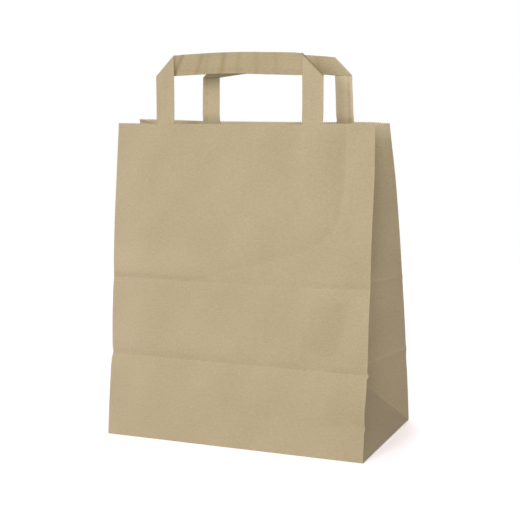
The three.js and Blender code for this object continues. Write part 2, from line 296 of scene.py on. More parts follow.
fibreGroup = kraftFibreGroup()
foldGroup = foldWearAndShadeGroup()


def kraftMaterial(name, look):
    # paper from the two shared groups, with this paper's own colours and strengths
    material = bpy.data.materials.new(name)
    material.use_nodes = True
    tree = material.node_tree
    shader = tree.nodes["Principled BSDF"]
    place = nodeAdd(tree, "TexCoord").outputs["Object"]
    fold = nodeAdd(tree, "Attribute", attribute_name="fold").outputs["Fac"]
    tone = nodeAdd(tree, "Attribute", attribute_name="tone").outputs["Fac"]
    fibre = nodeAdd(tree, "Group", {"Vector": place, "Tone": tone}, node_tree=fibreGroup)
    fed = {"Vector": place, "Fold": fold, "Color": fibre.outputs["Color"]}
    wear = nodeAdd(tree, "Group", fed, node_tree=foldGroup)
    for group, names in ((fibre, ("Cloud", "Fibre", "Grain", "Shives")), (wear, ("Wear",))):
        for key in names:
            group.inputs[key].default_value = look[key.lower()]
    for group, names in ((fibre, ("Pale", "Deep", "Shive")), (wear, ("Wornandshaded",))):
        for key in names:
            group.inputs[key].default_value = linear(*look[key.lower()])
    nap = {"Strength": look["bump"], "Distance": look["nap"] * mm, "Height": fibre.outputs["Height"]}
    tree.links.new(nodeAdd(tree, "Bump", nap).outputs["Normal"], shader.inputs["Normal"])
    tree.links.new(wear.outputs["Color"], shader.inputs["Base Color"])
    tree.links.new(fibre.outputs["Roughness"], shader.inputs["Roughness"])
    shader.inputs["Specular IOR Level"].default_value = look["sheen"]
    return material


kraftStock = {"cloud": 0.3, "fibre": 1.85, "grain": 2.15, "bump": 0.35, "nap": 0.1, "sheen": 0.25}
kraftLooks = {  # colours of 0 to 255, and what each paper has of its own
    "kraftSheet": {"pale": (197, 181, 147), "deep": (183, 167, 133), "shive": (132, 112, 82),
                   "wornandshaded": (205, 190, 158), "shives": 0.7, "wear": 0.35},
    "kraftTape": {"pale": (196, 180, 145), "deep": (181, 165, 130), "shive": (134, 114, 84),
                  # a dark fold colour: painted shade along the tape's folds, and dark lines at its laps
                  "wornandshaded": (150, 132, 100), "shives": 0.5, "wear": 0.4},
    "kraftPatch": {"pale": (200, 184, 150), "deep": (187, 171, 137), "shive": (136, 116, 86),
                   "wornandshaded": (205, 190, 158), "shives": 0.6, "wear": 0.3},
}
kraft = {name: kraftMaterial(name, {**kraftStock, **look}) for name, look in kraftLooks.items()}
print("materials made")


# The two panels

bag = {
    "width": (bagHigh.x - bagLow.x) / mm,
    "depth": (bagHigh.y - bagLow.y) / mm,
    "frontPaper": 292.0,  # base edge to rim
    "rearPaper": 294.0,
    "lowCrease": 73.0,
    "highCrease": 146.0,
    "frontLeans": (10.7, 5.4, 7.7),  # degrees, the three lengths from the base up
    "frontSwell": 5.0,  # degrees that each length bends from its middle to its ends
    "swellSettles": 70.0,  # over the high crease, the height in which the swell settles
    "swellLeft": 0.24,  # to this share
    "footFlare": 3.0,  # more lean right at the base edge
    "flareHeight": 14.0,
    "rearLeans": (7.0, 17.0),  # degrees at the base and at the rim
    "rearSwell": 0.9,
    "rimBow": 5.0,
    "paper": 0.2,
    "footLevel": 0.1,
    "seamAt": 96.0,  # lengthwise lap seam on the rear panel
    "edgeReach": 12.0,  # how far in from a vertical fold its kinks die away
    "edgeStiff": 9.0,  # how far in from it the panel stays flat
    "foldWidth": 0.7,  # of the worn line along a fold
    "crossWear": 0.8,  # of the cross creases, where the vertical folds have 1
}
halfWidth = bag["width"] / 2
halfDepth = bag["depth"] / 2
lowCrease = bag["lowCrease"]
highCrease = bag["highCrease"]


def sectionTable(length, lean):
    # out and up along the paper: running sums of the sine and the cosine of the lean
    step = 0.1
    s = np.arange(0.0, length + 2.0, step)
    angle = np.radians(lean(s))
    out = halfDepth - np.concatenate([[0], np.cumsum(np.sin(angle))[:-1]]) * step
    up = bag["footLevel"] + np.concatenate([[0], np.cumsum(np.cos(angle))[:-1]]) * step
    return {"s": s, "out": out, "up": up}


def swellOf(s, swell):
    # degrees that go evenly from minus swell at the foot of a length to plus swell at its top. The last
    # length starts in the same way, and settles to a small share of the swell.
    first = swell * (2 * s / lowCrease - 1)
    second = swell * (2 * (s - lowCrease) / (highCrease - lowCrease) - 1)
    settled = np.clip((s - highCrease) / bag["swellSettles"], 0, 1)
    last = swell * (bag["swellLeft"] - 1 + settled)
    return np.select([s < lowCrease, s < highCrease], [first, second], last)


def frontLean(s):
    # degrees: the lean of the length that s is in, its swell, and the flare at the base edge
    low, middle, high = bag["frontLeans"]
    lean = np.select([s < lowCrease, s < highCrease], [low, middle], high)
    flare = bag["footFlare"] * (0.9 - ease(0, bag["flareHeight"], s))
    return lean + swellOf(s, bag["frontSwell"]) + flare


def rearLean(s):
    # degrees that go evenly from the base to the rim, and a little swell
    return blendTo(*bag["rearLeans"], s / bag["rearPaper"]) + swellOf(s, bag["rearSwell"])


foldKinks = {  # of the vertical folds, outward: height, place and width
    "frontRight": ((1.3, 73, 2), (-0.6, 72, 10), (1.0, 29, 2.2), (-0.6, 45, 12)),
    "frontLeft": ((-0.8, 75, 3), (0.3, 66, 8), (0.5, 60, 18)),
    "rear": ((0.5, 73, 3), (-0.3, 62, 10), (0.3, 146, 3)),
    "frontNarrows": 1.6,  # how far the right edge comes in towards the rim
    "rearNarrows": 1.2,  # the same of the rear panel's left edge
}


def frontEdge(sign, s):
    # how far a vertical fold stands out: kinks at the low crease and where the base was folded
    right = bumps(s, foldKinks["frontRight"]) - foldKinks["frontNarrows"] * ease(240, 292, s)
    return np.where(sign > 0, right, bumps(s, foldKinks["frontLeft"]))


def rearEdge(sign, s):
    # the same for the rear panel, alike on both sides but for the narrower rim
    return bumps(s, foldKinks["rear"]) - foldKinks["rearNarrows"] * (sign < 0) * ease(230, 292, s)


lifts = {  # how far the paper lies over its even place
    "lowCrease": 2.1,
    "highCrease": (0.9, 2.6),  # left of u = 40, and at the right edge
    "frontRim": (-2.0, -1.2, 0.3),  # at the left edge, at u = 40 and at the right edge
    "rearRim": (1.3, 0.6, -0.8),  # towards the right, towards the left, and right at the left edge
}


def frontLift(u, s):
    # evenly from crease to crease: they weren't pressed quite level, nor was the rim cut square
    low = lifts["lowCrease"]
    high = blendTo(*lifts["highCrease"], ease(40, 125, u))
    top = np.interp(u, [-125, 40, 125], lifts["frontRim"])
    middle = blendTo(low, high, (s - lowCrease) / (highCrease - lowCrease))
    upper = blendTo(high, top, (s - highCrease) / (bag["frontPaper"] - highCrease))
    return np.select([s < lowCrease, s < highCrease], [low * s / lowCrease, middle], upper)


def rearLift(u, s):
    # smooth steps over the upper half, so that the rear rim isn't square either
    right, left, edge = lifts["rearRim"]
    across = right * ease(40, 125, u) + left * ease(50, 100, -u) + edge * ease(105, 125, -u)
    return ease(highCrease, bag["rearPaper"], s) * across


def creaseGroove(s, crease):
    # a valley of depth 1 along a cross crease: minus the exp of minus the distance over the side's width
    above = 4.2
    below = 3.0
    return -np.exp(-np.abs(s - crease) / np.where(s > crease, above, below))


frontForm = {  # millimetres that the paper stands out
    "patch": 0.9,  # the stiff upper part
    "legs": 0.22,
    "dent": -0.5,  # between the legs, under the rim
    "rimDent": -0.35,
    "trough": -0.9,  # slanting, low on the right
    "tuck": -0.25,
    "corner": -1.1,
    "waves": 0.16,
    "highGrooves": (0.14, 0.3, 0.16),  # all along, more at the left, more at the right
    "lowGroove": 0.26,
}


def fromPatchEdge(u, s):
    # distance inward from the slanting outline that the stiff upper part shows through the panel, and from
    # its right edge: the smaller of the two, with a soft corner, as minus the log of the sum of exps
    right = 99
    corner = 3
    places = [-125, -36, -2, 27, 59, 78, 91, 97, right]
    levels = [127, 149, 160, 168, 177, 186, 197, 212, 235]
    foot = np.clip(s - np.interp(u, places, levels), -80, 200)
    side = np.clip(right - u, -80, 200)
    return -corner * np.log(np.exp(-foot / corner) + np.exp(-side / corner))


def troughLine(s):
    # u of the slanting trough: a straight line up the paper
    return 100.5 + (s - 108) * 0.19


def fromSides(u):
    # 0 at the vertical folds and 1 further in: one minus a bell curve of the distance
    return 1 - bell(halfWidth - np.abs(u), 0, bag["edgeStiff"])


def bulge(inside):
    # 0 outside a stiff area and 1 well inside it, by one minus the square of what is left of the slope
    slope = 24
    return 1 - (1 - np.clip(inside / slope, 0, 1)) ** 2


def frontRelief(u, s):
    # how far the front panel stands out: patch and legs pressed through it, soft buckles and waves
    raised = frontForm["patch"] * bulge(fromPatchEdge(u, s) + 4)
    legs = ease(-88, -84, u) * (1 - ease(-68.5, -65, u)) + ease(55.5, 58.5, u) * (1 - ease(74, 82, u))
    legs = frontForm["legs"] * legs * ease(206, 216, s)
    dent = frontForm["dent"] * bell(u, 46, 14) * ease(190, 262, s)
    dent = dent + frontForm["rimDent"] * bell(u, 30, 9) * bell(s, 273, 12)
    offLine = u - troughLine(s)
    trough = frontForm["trough"] * np.exp(-np.abs(offLine) / np.where(offLine < 0, 20, 7))
    trough = trough * ease(74, 100, s) * (1 - ease(128, 146, s))
    tuck = frontForm["tuck"] * bell(u, 51, 2.5) * ease(44, 56, s) * (1 - ease(84, 96, s))
    corner = frontForm["corner"] * ease(88, 118, u) * ease(28, 30, s) * (1 - ease(36, 66, s))
    waves = frontForm["waves"] * softWaves(u, s, 3, 45, 110)
    allAlong, atLeft, atRight = frontForm["highGrooves"]
    deep = allAlong + atLeft * ease(-20, -60, u) + atRight * ease(50, 85, u)
    grooves = deep * creaseGroove(s, highCrease) + frontForm["lowGroove"] * creaseGroove(s, lowCrease)
    return fromSides(u) * (raised + legs + dent + trough + tuck + corner + waves) + grooves


frontShade = {  # painted light and shade in units of tone, dark under 0; the waves are the paper's own uneven tone
    "band": (-0.6, -0.75),  # inside the patch's outline, and more where that goes upright
    "dent": (-0.45, -0.35),
    "legEdge": 0.25,
    "trough": -0.75,
    "corner": (-0.7, -0.5),  # the buckle, and right down at the base
    "highCrease": (-0.9, -0.55),  # at the left and at the right
    "lowCrease": -0.35,
    "overCrease": 0.75,
    "sides": (0.6, -0.35),  # the left and the right margin
    "lowPanel": (0.5, 0.55),  # at the left between the creases, and under the low crease
    "foot": 0.45,
    "waves": 0.25,
}


def frontPaintedLightAndShade(u, s):
    # painted light and shade: a sum of soft bands along the glued patch's outline, the dents, the trough,
    # the low right corner, the creases and the margins, each a product of smooth steps and bell curves,
    # and the paper's own waves
    inside = fromPatchEdge(u, s)
    upright = ease(196, 232, s) * ease(60, 90, u)
    # painted shade inside the outline of the glued patch
    slanting, more = frontShade["band"]
    glued = (slanting + more * upright) * ease(-1.5, 2.5, inside)
    glued = glued * np.exp(-np.maximum(inside, 0) / (15 + 13 * upright))
    glued = glued * ease(-60, -20, u) * (1 - 0.5 * ease(276, 290, s))
    wide, small = frontShade["dent"]
    dent = wide * bell(u, 42, 14) * ease(205, 250, s) + small * bell(u, 32, 9) * bell(s, 274, 8)
    dent = dent + frontShade["legEdge"] * bell(u, 60, 2.5) * ease(205, 225, s)
    offLine = u - troughLine(s)
    trough = frontShade["trough"] * ease(-45, -6, offLine) * (1 - ease(-3, 3, offLine))
    trough = trough * ease(76, 100, s) * (1 - ease(126, 144, s))
    buckle, base = frontShade["corner"]
    low = buckle * ease(78, 104, u) * ease(26, 31, s) * (1 - ease(40, 68, s))
    low = low + base * ease(70, 110, u) * (1 - ease(24, 50, s))
    left, right = frontShade["highCrease"]
    crease = (left * ease(-15, -70, u) + right * ease(50, 85, u)) * bell(s, 149, 2.4)
    crease = crease + frontShade["lowCrease"] * bell(s, 75.5, 3.0)
    crease = crease + frontShade["overCrease"] * ease(60, -50, u) * bell(s, 165, 16)
    left, right = frontShade["sides"]
    margin = left * ease(-70, -110, u) + right * ease(96, 106, u) * ease(130, 170, s)
    between, under = frontShade["lowPanel"]
    margin = margin + between * ease(30, -40, u) * bell(s, 90, 17)
    margin = margin + under * bell(u, -45, 45) * bell(s, 50, 22)
    foot = frontShade["foot"] * (1 - ease(2, 45, s))
    waves = frontShade["waves"] * softWaves(u, s, 5, 40, 120)
    return glued + dent + trough + low + crease + margin + foot + waves


rearForm = {  # millimetres, and units of tone
    "patch": 0.6,
    "waves": 0.3,
    "swelling": 0.35,  # one soft rise on the left of the middle
    "grooves": 0.2,
    "seam": 0.22,
    "seamSlope": 0.3,  # width in which the paper climbs over the seam
    "seamTone": -0.4,
    "toneWaves": 0.35,
}


def rearRelief(u, s):
    # the same for the rear panel, whose stiff part has an even outline, with the step of the lap seam
    corner = 8
    sides = [s - 188, 94 - u, u + 126]
    inside = -corner * np.log(sum(np.exp(-side / corner) for side in sides))
    raised = rearForm["patch"] * bulge(inside)
    seam = rearForm["seam"] * ease(bag["seamAt"], bag["seamAt"] + rearForm["seamSlope"], u)
    waves = rearForm["waves"] * softWaves(u, s, 11, 50, 120)
    waves = waves + rearForm["swelling"] * bell(u, -40, 30) * bell(s, 110, 25)
    grooves = rearForm["grooves"] * (creaseGroove(s, lowCrease) + creaseGroove(s, highCrease))
    return fromSides(u) * (raised + waves) + seam + grooves


def rearTone(u, s):
    # a dark line along the seam, and soft waves
    seam = rearForm["seamTone"] * bell(u, bag["seamAt"] + 1.5, 1.6)
    return seam + rearForm["toneWaves"] * softWaves(u, s, 6, 40, 120)


front = {
    "length": bag["frontPaper"],
    "turn": 1,
    "bow": bag["rimBow"],
    "edge": frontEdge,
    "lift": frontLift,
    "relief": frontRelief,
    "tone": frontPaintedLightAndShade,
    **sectionTable(bag["frontPaper"], frontLean),
}
rear = {
    "length": bag["rearPaper"],
    "turn": -1,
    "bow": 0.0,
    "edge": rearEdge,
    "lift": rearLift,
    "relief": rearRelief,
    "tone": rearTone,
    **sectionTable(bag["rearPaper"], rearLean),
}


def section(side, u, s):
    # distance out from the middle plane and height of a panel's outer face
    bow = side["bow"] * np.cos(np.pi * u / bag["width"]) * ease(highCrease, side["length"], s)
    out = np.interp(s, side["s"], side["out"]) + bow + side["relief"](u, s)
    return out, np.interp(s, side["s"], side["up"]) + side["lift"](u, s)


def sidePlace(side, u, out, up):
    # from a panel's own directions to X, Y and Z: the rear panel is turned round by half a turn
    return np.stack(np.broadcast_arrays(side["turn"] * u, -side["turn"] * out, up), -1)


def panel(side, u, s):
    # outer face of a panel: its section, with the kinks of the vertical folds dying away inwards
    out, up = section(side, u, s)
    sign = np.sign(u)
    kink = sign * side["edge"](sign, s) * np.exp(-(halfWidth - np.abs(u)) / bag["edgeReach"])
    return sidePlace(side, u + kink, out, up)


# The gussets

gussetForm = {  # millimetres
    "gather": 45.0,  # over the folded corner, the height in which a half goes from two leaves to one
    "buckles": 0.55,
    "bulges": ((0.5, 262, 30), (0.5, 146, 3), (-0.35, 80, 9)),  # outward: height, place and width
    "hollow": 1.2,
    "hollowWay": (0.8, 0.0, 0.6),  # inwards and down
    "waves": 0.3,  # units of tone, as what follows
    # painted light under the rim
    "rimPaintedLight": 1.2,
    "paintedEdgeShade": -2.5,  # painted shade along the vertical folds, high up
    "halfPaintedShade": -0.9,  # painted shade in the middle of a half
}


def edgeLine(side, sign, s):
    # the vertical fold at X = sign times half the width, at front paper height s
    u = sign * side["turn"] * halfWidth
    return panel(side, u + 0 * s, s * side["length"] / bag["frontPaper"])


def creaseLine(sign, s, drop):
    # centre crease of a gusset: each half keeps its paper width, so the inset is the root of that squared
    # less the reach squared and the drop squared, and the crease hangs by drop under its edges
    a = edgeLine(front, sign, s)
    b = edgeLine(rear, sign, s)
    reach = (b[..., 1] - a[..., 1]) / 2
    inset = np.sqrt(halfDepth ** 2 - reach ** 2 - drop ** 2)
    middle = (a + b) / 2
    return np.stack([sign * (halfWidth - inset), middle[..., 1], middle[..., 2] - drop], -1)


def creaseDrop(sign):
    # the corner triangle keeps its shape while it swings in about the base edge, so the drop is the level
    # squared less the reach squared, over twice the level
    a, b = (edgeLine(side, sign, np.array(halfDepth)) for side in (front, rear))
    level = (a[2] + b[2]) / 2 - bag["footLevel"]
    reach = (b[1] - a[1]) / 2
    return (level ** 2 - reach ** 2) / (2 * level)


def gusset(sign, t, s):
    # t runs 0 at the front edge, 1 at the centre crease, 2 at the rear edge. Over the tip of the folded
    # corner each half is a ruled sheet from edge to crease. Under it t = 0.5 and 1.5 are the slanting
    # folds, with a side piece outside each and the corner triangle between them.
    s = s + 0 * t
    t = t + 0 * s
    a = edgeLine(front, sign, s)
    b = edgeLine(rear, sign, s)
    drop = creaseDrop(sign)
    c = creaseLine(sign, np.maximum(s, halfDepth), drop)
    tip = creaseLine(sign, np.array(halfDepth), drop)
    atFront = (t <= 1)[..., None]
    near = np.where(t <= 1, t, 2 - t)[..., None]
    edge = np.where(atFront, a, b)
    gather = ease(halfDepth, halfDepth + gussetForm["gather"], s)[..., None]
    share = (1 - gather) * np.minimum(2 * near, 1) + gather * near
    over = edge + (c - edge) * share
    rise = (np.minimum(s, halfDepth) / halfDepth)[..., None]
    foldA, foldB = (blendTo(edgeLine(side, sign, np.array(0.0)), tip, rise) for side in (front, rear))
    fold = np.where(atFront, foldA, foldB)
    middle = (foldA + foldB) / 2
    under = np.where(near < 0.5, edge + (fold - edge) * 2 * near, fold + (middle - fold) * (2 * near - 1))
    base = np.where((s < halfDepth)[..., None], under, over)
    # soft buckles, none of them on a fold or an edge
    outward = unit(np.cross(c - edge, np.array([0.0, 0.0, 1.0]))) * np.where(atFront, sign, -sign)
    half = np.sin(np.pi * np.clip(share[..., 0], 0, 1)) * ease(halfDepth, halfDepth + 25, s)
    way = s + 40 * sign + 90 * (t > 1)
    buckle = gussetForm["buckles"] * softWaves(way, 30 * t, 21, 60, 120) + bumps(s, gussetForm["bulges"])
    buckle = half * buckle
    across = np.clip(2 * near[..., 0] - 1, 0, 1)
    hollow = np.sin(0.5 * np.pi * across) * np.sin(np.pi * rise[..., 0]) * (s < halfDepth)
    inwards = gussetForm["hollow"] * np.array(gussetForm["hollowWay"]) * [sign, 1, 1]
    return base + outward * buckle[..., None] - inwards * hollow[..., None]


def toGussetFold(t, s):
    # distance to the nearest fold: the edges and the centre crease, and under them the slanting folds
    near = np.minimum(t, 2 - t)
    under = np.where(near < 0.5, np.minimum(near, 0.5 - near) * s, (near - 0.5) * (halfDepth - s)) * 2
    return np.where(s < halfDepth, under, np.minimum(near, 1 - near) * halfDepth)


def gussetToneAndPaintedLight(t, s):
    # soft waves of the paper's own tone, painted light under the rim, and painted shade along the vertical
    # folds high up and in the middle of a half
    near = np.minimum(t, 2 - t)
    tone = gussetForm["waves"] * softWaves(60 * t, s, 7, 30, 90)
    tone = tone + gussetForm["rimPaintedLight"] * ease(258, 284, s)
    tone = tone + gussetForm["paintedEdgeShade"] * bell(near * halfDepth, 0, 1.0) * ease(245, 275, s)
    return tone + gussetForm["halfPaintedShade"] * bell(near, 0.45, 0.3) * bell(s, 222, 40)


# The folded sheet: front panel, right gusset, rear panel and left gusset as one ring

rim = {
    "band": 3.0,
    "toothDepth": 0.9,
    "panelTeeth": 108,
    "halfGussetTeeth": 30,
    "shares": (0.0, 0.35, 0.7, 1.0),  # rows of the pinked band, from its foot to the tips
    "paintedLightInside": 6.5,  # painted light on the rear rim's inside, where the front rim shades it
    "paintedLightReach": (12.0, 5.0),  # under the band, where that starts and where it is full
}
rimFoot = bag["frontPaper"] - rim["band"]


def wallGrid(wall, columns, s):
    # points and masks of one wall; s has a row for each level. Panels take their columns in millimetres
    # from the middle, gussets as 0 to 2 from one edge over the centre crease to the other.
    t = columns[None, :] + 0 * s
    s = s + 0 * t
    if wall in ("front", "rear"):
        side = front if wall == "front" else rear
        points = panel(side, t, s * side["length"] / bag["frontPaper"])
        toFold = halfWidth - np.abs(t)
        tone = side["tone"](t, s)
    else:
        sign = 1 if wall == "right" else -1
        points = gusset(sign, t if sign > 0 else 2 - t, s)
        toFold = toGussetFold(t, s)
        tone = gussetToneAndPaintedLight(t, s)
    toCross = np.minimum(np.abs(s - lowCrease), np.abs(s - highCrease))
    crossWear = bag["crossWear"] * bell(toCross, 0, bag["foldWidth"])
    wear = np.maximum(bell(toFold, 0, bag["foldWidth"]), crossWear)
    # painted light on the inside of the rear panel, under the pinked band
    farUnder, nearUnder = rim["paintedLightReach"]
    paintedLightInside = rim["paintedLightInside"] * (wall == "rear") * ease(rimFoot - farUnder, rimFoot - nearUnder, s)
    return points, paperMasks(wear, tone, paintedLightInside)


def sheetRing(walls, levels):
    # the walls side by side; levels gives the paper heights for a wall's columns. Each wall's last column
    # is the next one's first, so it is left out.
    grids = [wallGrid(wall, columns[:-1], levels(columns[:-1])) for wall, columns in walls]
    return np.concatenate([g[0] for g in grids], 1), np.concatenate([g[1] for g in grids], 1)


def mirrored(half):
    # places of 0 to 1, and their mirror images from 1 to 2
    return np.concatenate([half, 2 - half[-2::-1]])


def toothLevels(columns):
    # paper heights of the pinked band: four columns a tooth, tip, side, notch, side
    notch = 1 - np.abs(np.arange(len(columns)) % 4 - 2) / 2
    top = bag["frontPaper"] - rim["toothDepth"] * notch
    return rimFoot + np.array(rim["shares"])[:, None] * (top - rimFoot)


sheetGrid = {  # distances between rows and columns
    "rows": 2.2,
    "front": 2.5,
    "rear": 3.4,
    "gusset": 0.045,  # of the width of a half
}


def makeSheet():
    # a fine grid where the paper bends, by extra columns and rows, and the pinked band on top
    legSides = (-105.5, -88, -84, -68.5, -65, 55.5, 58.5, 74, 82, 98)  # legs and patch pressed through
    foldSides = (-halfWidth + 0.5, -halfWidth + 1.3, halfWidth - 1.3, halfWidth - 0.5)
    seamSides = (bag["seamAt"], bag["seamAt"] + rearForm["seamSlope"])
    bends = (-1.8, -0.8, -0.3, 0, 0.3, 0.8, 1.8)
    creaseSides = [crease + off for crease in (lowCrease, highCrease) for off in bends]
    rows = stations(0.0, rimFoot, sheetGrid["rows"], (0.3, 0.8, 29.0, halfDepth, *creaseSides))[:, None]
    halfSides = (0.007, 0.018, 0.49, 0.5, 0.51, 0.982, 0.993)
    gussetColumns = mirrored(stations(0.0, 1.0, sheetGrid["gusset"], halfSides))
    sheetWalls = [
        ("front", stations(-halfWidth, halfWidth, sheetGrid["front"], legSides + foldSides)),
        ("right", gussetColumns),
        ("rear", stations(-halfWidth, halfWidth, sheetGrid["rear"], seamSides + foldSides)),
        ("left", gussetColumns),
    ]
    panelTeeth = np.linspace(-halfWidth, halfWidth, 4 * rim["panelTeeth"] + 1)
    gussetTeeth = np.linspace(0, 2, 8 * rim["halfGussetTeeth"] + 1)
    rimWalls = [("front", panelTeeth), ("right", gussetTeeth), ("rear", panelTeeth), ("left", gussetTeeth)]
    sheetShell = thinShell(*sheetRing(sheetWalls, lambda columns: rows), bag["paper"], ring=True)
    rimShell = thinShell(*sheetRing(rimWalls, toothLevels), bag["paper"], ring=True)
    wholeShell = joinShells([sheetShell, rimShell])
    makePiece("paperSheet", wholeShell, kraft["kraftSheet"], "bag_body")


makeSheet()


# The block bottom: two long flaps glued over each other, and the folded ends of the gussets above them

bottom = {
    "lap": 24.0,
    "layer": 0.15,
    "flutter": 0.03,  # unevenness of the glued layers
    "over": 0.22,  # lift of the front flap over the rear one
    "sideReach": 80.0,  # of the folded ends
    "sideTip": 12.0,  # half their width there
    "sideLift": (0.12, 0.46),  # at the base edge and further in
    "sideFlutter": 0.02,
    "edgeWear": 0.8,
    "toneWaves": 0.3,
}


def bottomFlap(x, y, z):
    # a flat grid seen from below, with a mask along its free edges
    points = np.stack(np.broadcast_arrays(x, y, z), -1)
    rows, columns = points.shape[:2]
    fromEnd = np.minimum(np.arange(columns), np.arange(columns)[::-1])[None, :] + np.zeros((rows, 1))
    wear = np.where(fromEnd < 1, bottom["edgeWear"], 0.0)
    masks = paperMasks(wear, bottom["toneWaves"] * softWaves(x, y, 33, 25, 70))
    return thinShell(points, masks, bottom["layer"])


def makeBottom():
    # long flaps: the width narrows by 1 for each unit that the flap reaches in, a 45 degree end. The
    # folded ends run from the whole base edge evenly to their tips.
    reach = halfDepth + bottom["lap"] / 2
    across = np.linspace(-1, 1, 61)[None, :]
    r = np.linspace(0, 1, 31)[:, None]
    x = across * (halfWidth - reach * r)
    y = halfDepth - reach * r
    flutter = bottom["flutter"] * (1 + softWaves(x, y, 31, 30, 80))
    over = bottom["over"] * ease(halfDepth - 30, halfDepth + 2, reach * r)
    flaps = {"bottomFlapRear": (x, y, flutter), "bottomFlapFront": (-x, -y, flutter + over)}
    lift = blendTo(*bottom["sideLift"], ease(0, 0.08, r))
    lift = lift + bottom["sideFlutter"] * softWaves(x, y, 32, 30, 80)
    for name, sign in (("bottomFoldLeft", -1), ("bottomFoldRight", 1)):
        sideX = sign * (halfWidth - bottom["sideReach"] * r) + 0 * across
        sideY = sign * across * blendTo(halfDepth, bottom["sideTip"], r)
        flaps[name] = (sideX, -sideY, lift)
    for name, place in flaps.items():
        makePiece(name, bottomFlap(*place), kraft["kraftSheet"], "bag_body")


makeBottom()


# The handles: one folded tape each

handle = {
    "rise": 58.0,  # rim to the top edge
    "thickness": 0.6,
    "tuck": 80.0,  # glued length
    "foldGap": 0.3,
    "clearance": 0.3,
    "cadPaper": 0.15,
    "roundEdge": 0.3,
    "laps": (2.5, 4.7),  # edges of the folded-in layers, from the outer edge of the legs
    "lapStep": 0.12,
    "waves": 0.16,
    "stripTone": -1.0,  # the strip is darker than the legs
    # painted shade in the wrinkles and in the recess beside the leg
    "paintedWrinkleShade": -2.0,
    "toneWaves": 0.3,
    # painted shade along the tape's folds
    "foldWearAndShade": 0.6,
    "steps": (1.6, 1.4),  # of the grid, along and across
}
frontTape = {
    "side": front,
    "span": 161.7,
    "width": 18.5,
    "shift": -3.6,
    "arch": 2.6,
    "lean": 1.5,  # degrees towards the mouth
    "settle": 14.0,  # height over the rim in which the legs turn to that
    "widths": (1.0, 1.045),  # of the first and the second leg
    "splay": 0.0,  # how far the legs close in
    "lifts": (2.6, 1.8),  # of the two corners
    "fades": (90.0, 110.0),  # how far along the strip they reach
    "tones": (0.4, 0.4),  # of the two faces
    "paintedEdgeShade": -5.0,  # painted shade along the second corner's fold
    "legPaintedLight": 0.0,  # painted light on the first leg
    "wrinkles": (  # place, depth, width and slant
        (-65.3, 1.3, 1.1, 0.0), (-62.5, 1.1, 2.2, -0.5), (-41, 0.8, 2.1, -0.33), (-34, 0.3, 1.8, -0.2),
        (-18, 1.0, 2.0, -0.15), (-3, 0.5, 2.0, -0.1), (15, 0.4, 2.2, 0.0), (33, 0.35, 2.0, 0.1),
    ),
    "seed": 41,
}
rearTape = {
    "side": rear,
    "span": 148.4,
    "width": 17.0,
    "shift": -16.8,
    "arch": 3.0,
    "lean": 0.0,
    "settle": 9.0,
    "widths": (0.958, 1.02),
    "splay": 0.019,
    "lifts": (-0.2, -1.6),
    "fades": (40.0, 30.0),
    # painted light: paler faces, most on the legs seen from the front, where the front handle shades them
    "tones": (1.4, 2.6),
    "paintedEdgeShade": 0.0,
    # painted light on the leg that the front handle shades
    "legPaintedLight": 1.2,
    "wrinkles": ((-58, 0.5, 4.0, 0.1), (-30, 0.35, 2.5, -0.1), (4, 0.4, 2.2, 0.12), (30, 0.3, 2.4, 0.0)),
    "seed": 43,
}


def tapePlace(look, u, w, depth):
    # under the rim the tape lies on the panel; over it the lean turns evenly, along the settling height,
    # to the tape's own
    side = look["side"]
    s = side["length"] + np.minimum(w, 0)
    out, up = section(side, u, s)
    outLow, upLow = section(side, u, s - 2)
    panelLean = np.arctan2(outLow - out, up - upLow)
    turned = np.clip(w, 0, look["settle"])
    own = np.radians(look["lean"])
    lean = blendTo(panelLean, own, turned / look["settle"])
    rise = np.maximum(w, 0)
    out = out - depth * np.cos(lean) - turned * (panelLean + lean) / 2 - (rise - turned) * np.sin(own)
    return sidePlace(side, u, out, up - depth * np.sin(lean) + rise)


def foldOver(past):
    # half a turn over the fold line: where the paper that is past the line, or before it, lies across the
    # line, and how deep. It goes round an arc of the radius roll, and lies flat on both sides of that.
    legDepth = handle["cadPaper"] + handle["clearance"] + handle["thickness"] / 2
    roll = (handle["thickness"] + handle["foldGap"]) / 2
    rolling = np.abs(past) < roll * np.pi / 2
    across = np.where(rolling, roll * np.cos(past / roll) - roll * np.pi / 2, -np.abs(past))
    depth = legDepth + roll + np.where(rolling, roll * np.sin(past / roll), np.sign(past) * roll)
    return across / 2 ** 0.5, depth


def tapeMiddle(look, p, q):
    # middle of the tape: p along it from one glued end to the other, q across it from the legs' outer
    # edge. Each corner mirrors the tape over a 45 degree line, and rolls it over by half a turn there.
    width = look["width"]
    span = look["span"]
    low = handle["rise"] - width
    run = p - handle["tuck"] - low
    first = run < span / 2
    q = q * blendTo(*look["widths"], ease(30, span - 30, run))
    a = np.where(first, run, span - run)
    along = (a + q) / 2
    past = (a - q) / 2 ** 0.5
    across, depth = foldOver(past)
    w = low + along + across
    closing = 1 - look["splay"] * np.clip(w / low, 0, 1)
    u = look["shift"] + np.where(first, -1, 1) * (span / 2 - along + across) * closing
    strip = ease(0, 6, past)
    w = w + strip * look["arch"] * np.maximum(0, 1 - ((u - look["shift"]) / (span / 2 - width)) ** 2)
    for lift, fade, far in zip(look["lifts"], look["fades"], (run, span - run)):
        w = w + lift * np.interp(far, [-low, 0, width, width + fade], [0, 1, 1, 0])
    pressed = 0 * u
    for place, deep, wide, slant in look["wrinkles"]:
        pressed = pressed + deep * bell(u + slant * (q - width / 2), place, wide)
    depth = depth + strip * pressed
    depth = depth + handle["waves"] * ease(2, 20, w) * softWaves(p, 2 * q, look["seed"], 22, 60)
    return tapePlace(look, u, w, depth), past, pressed


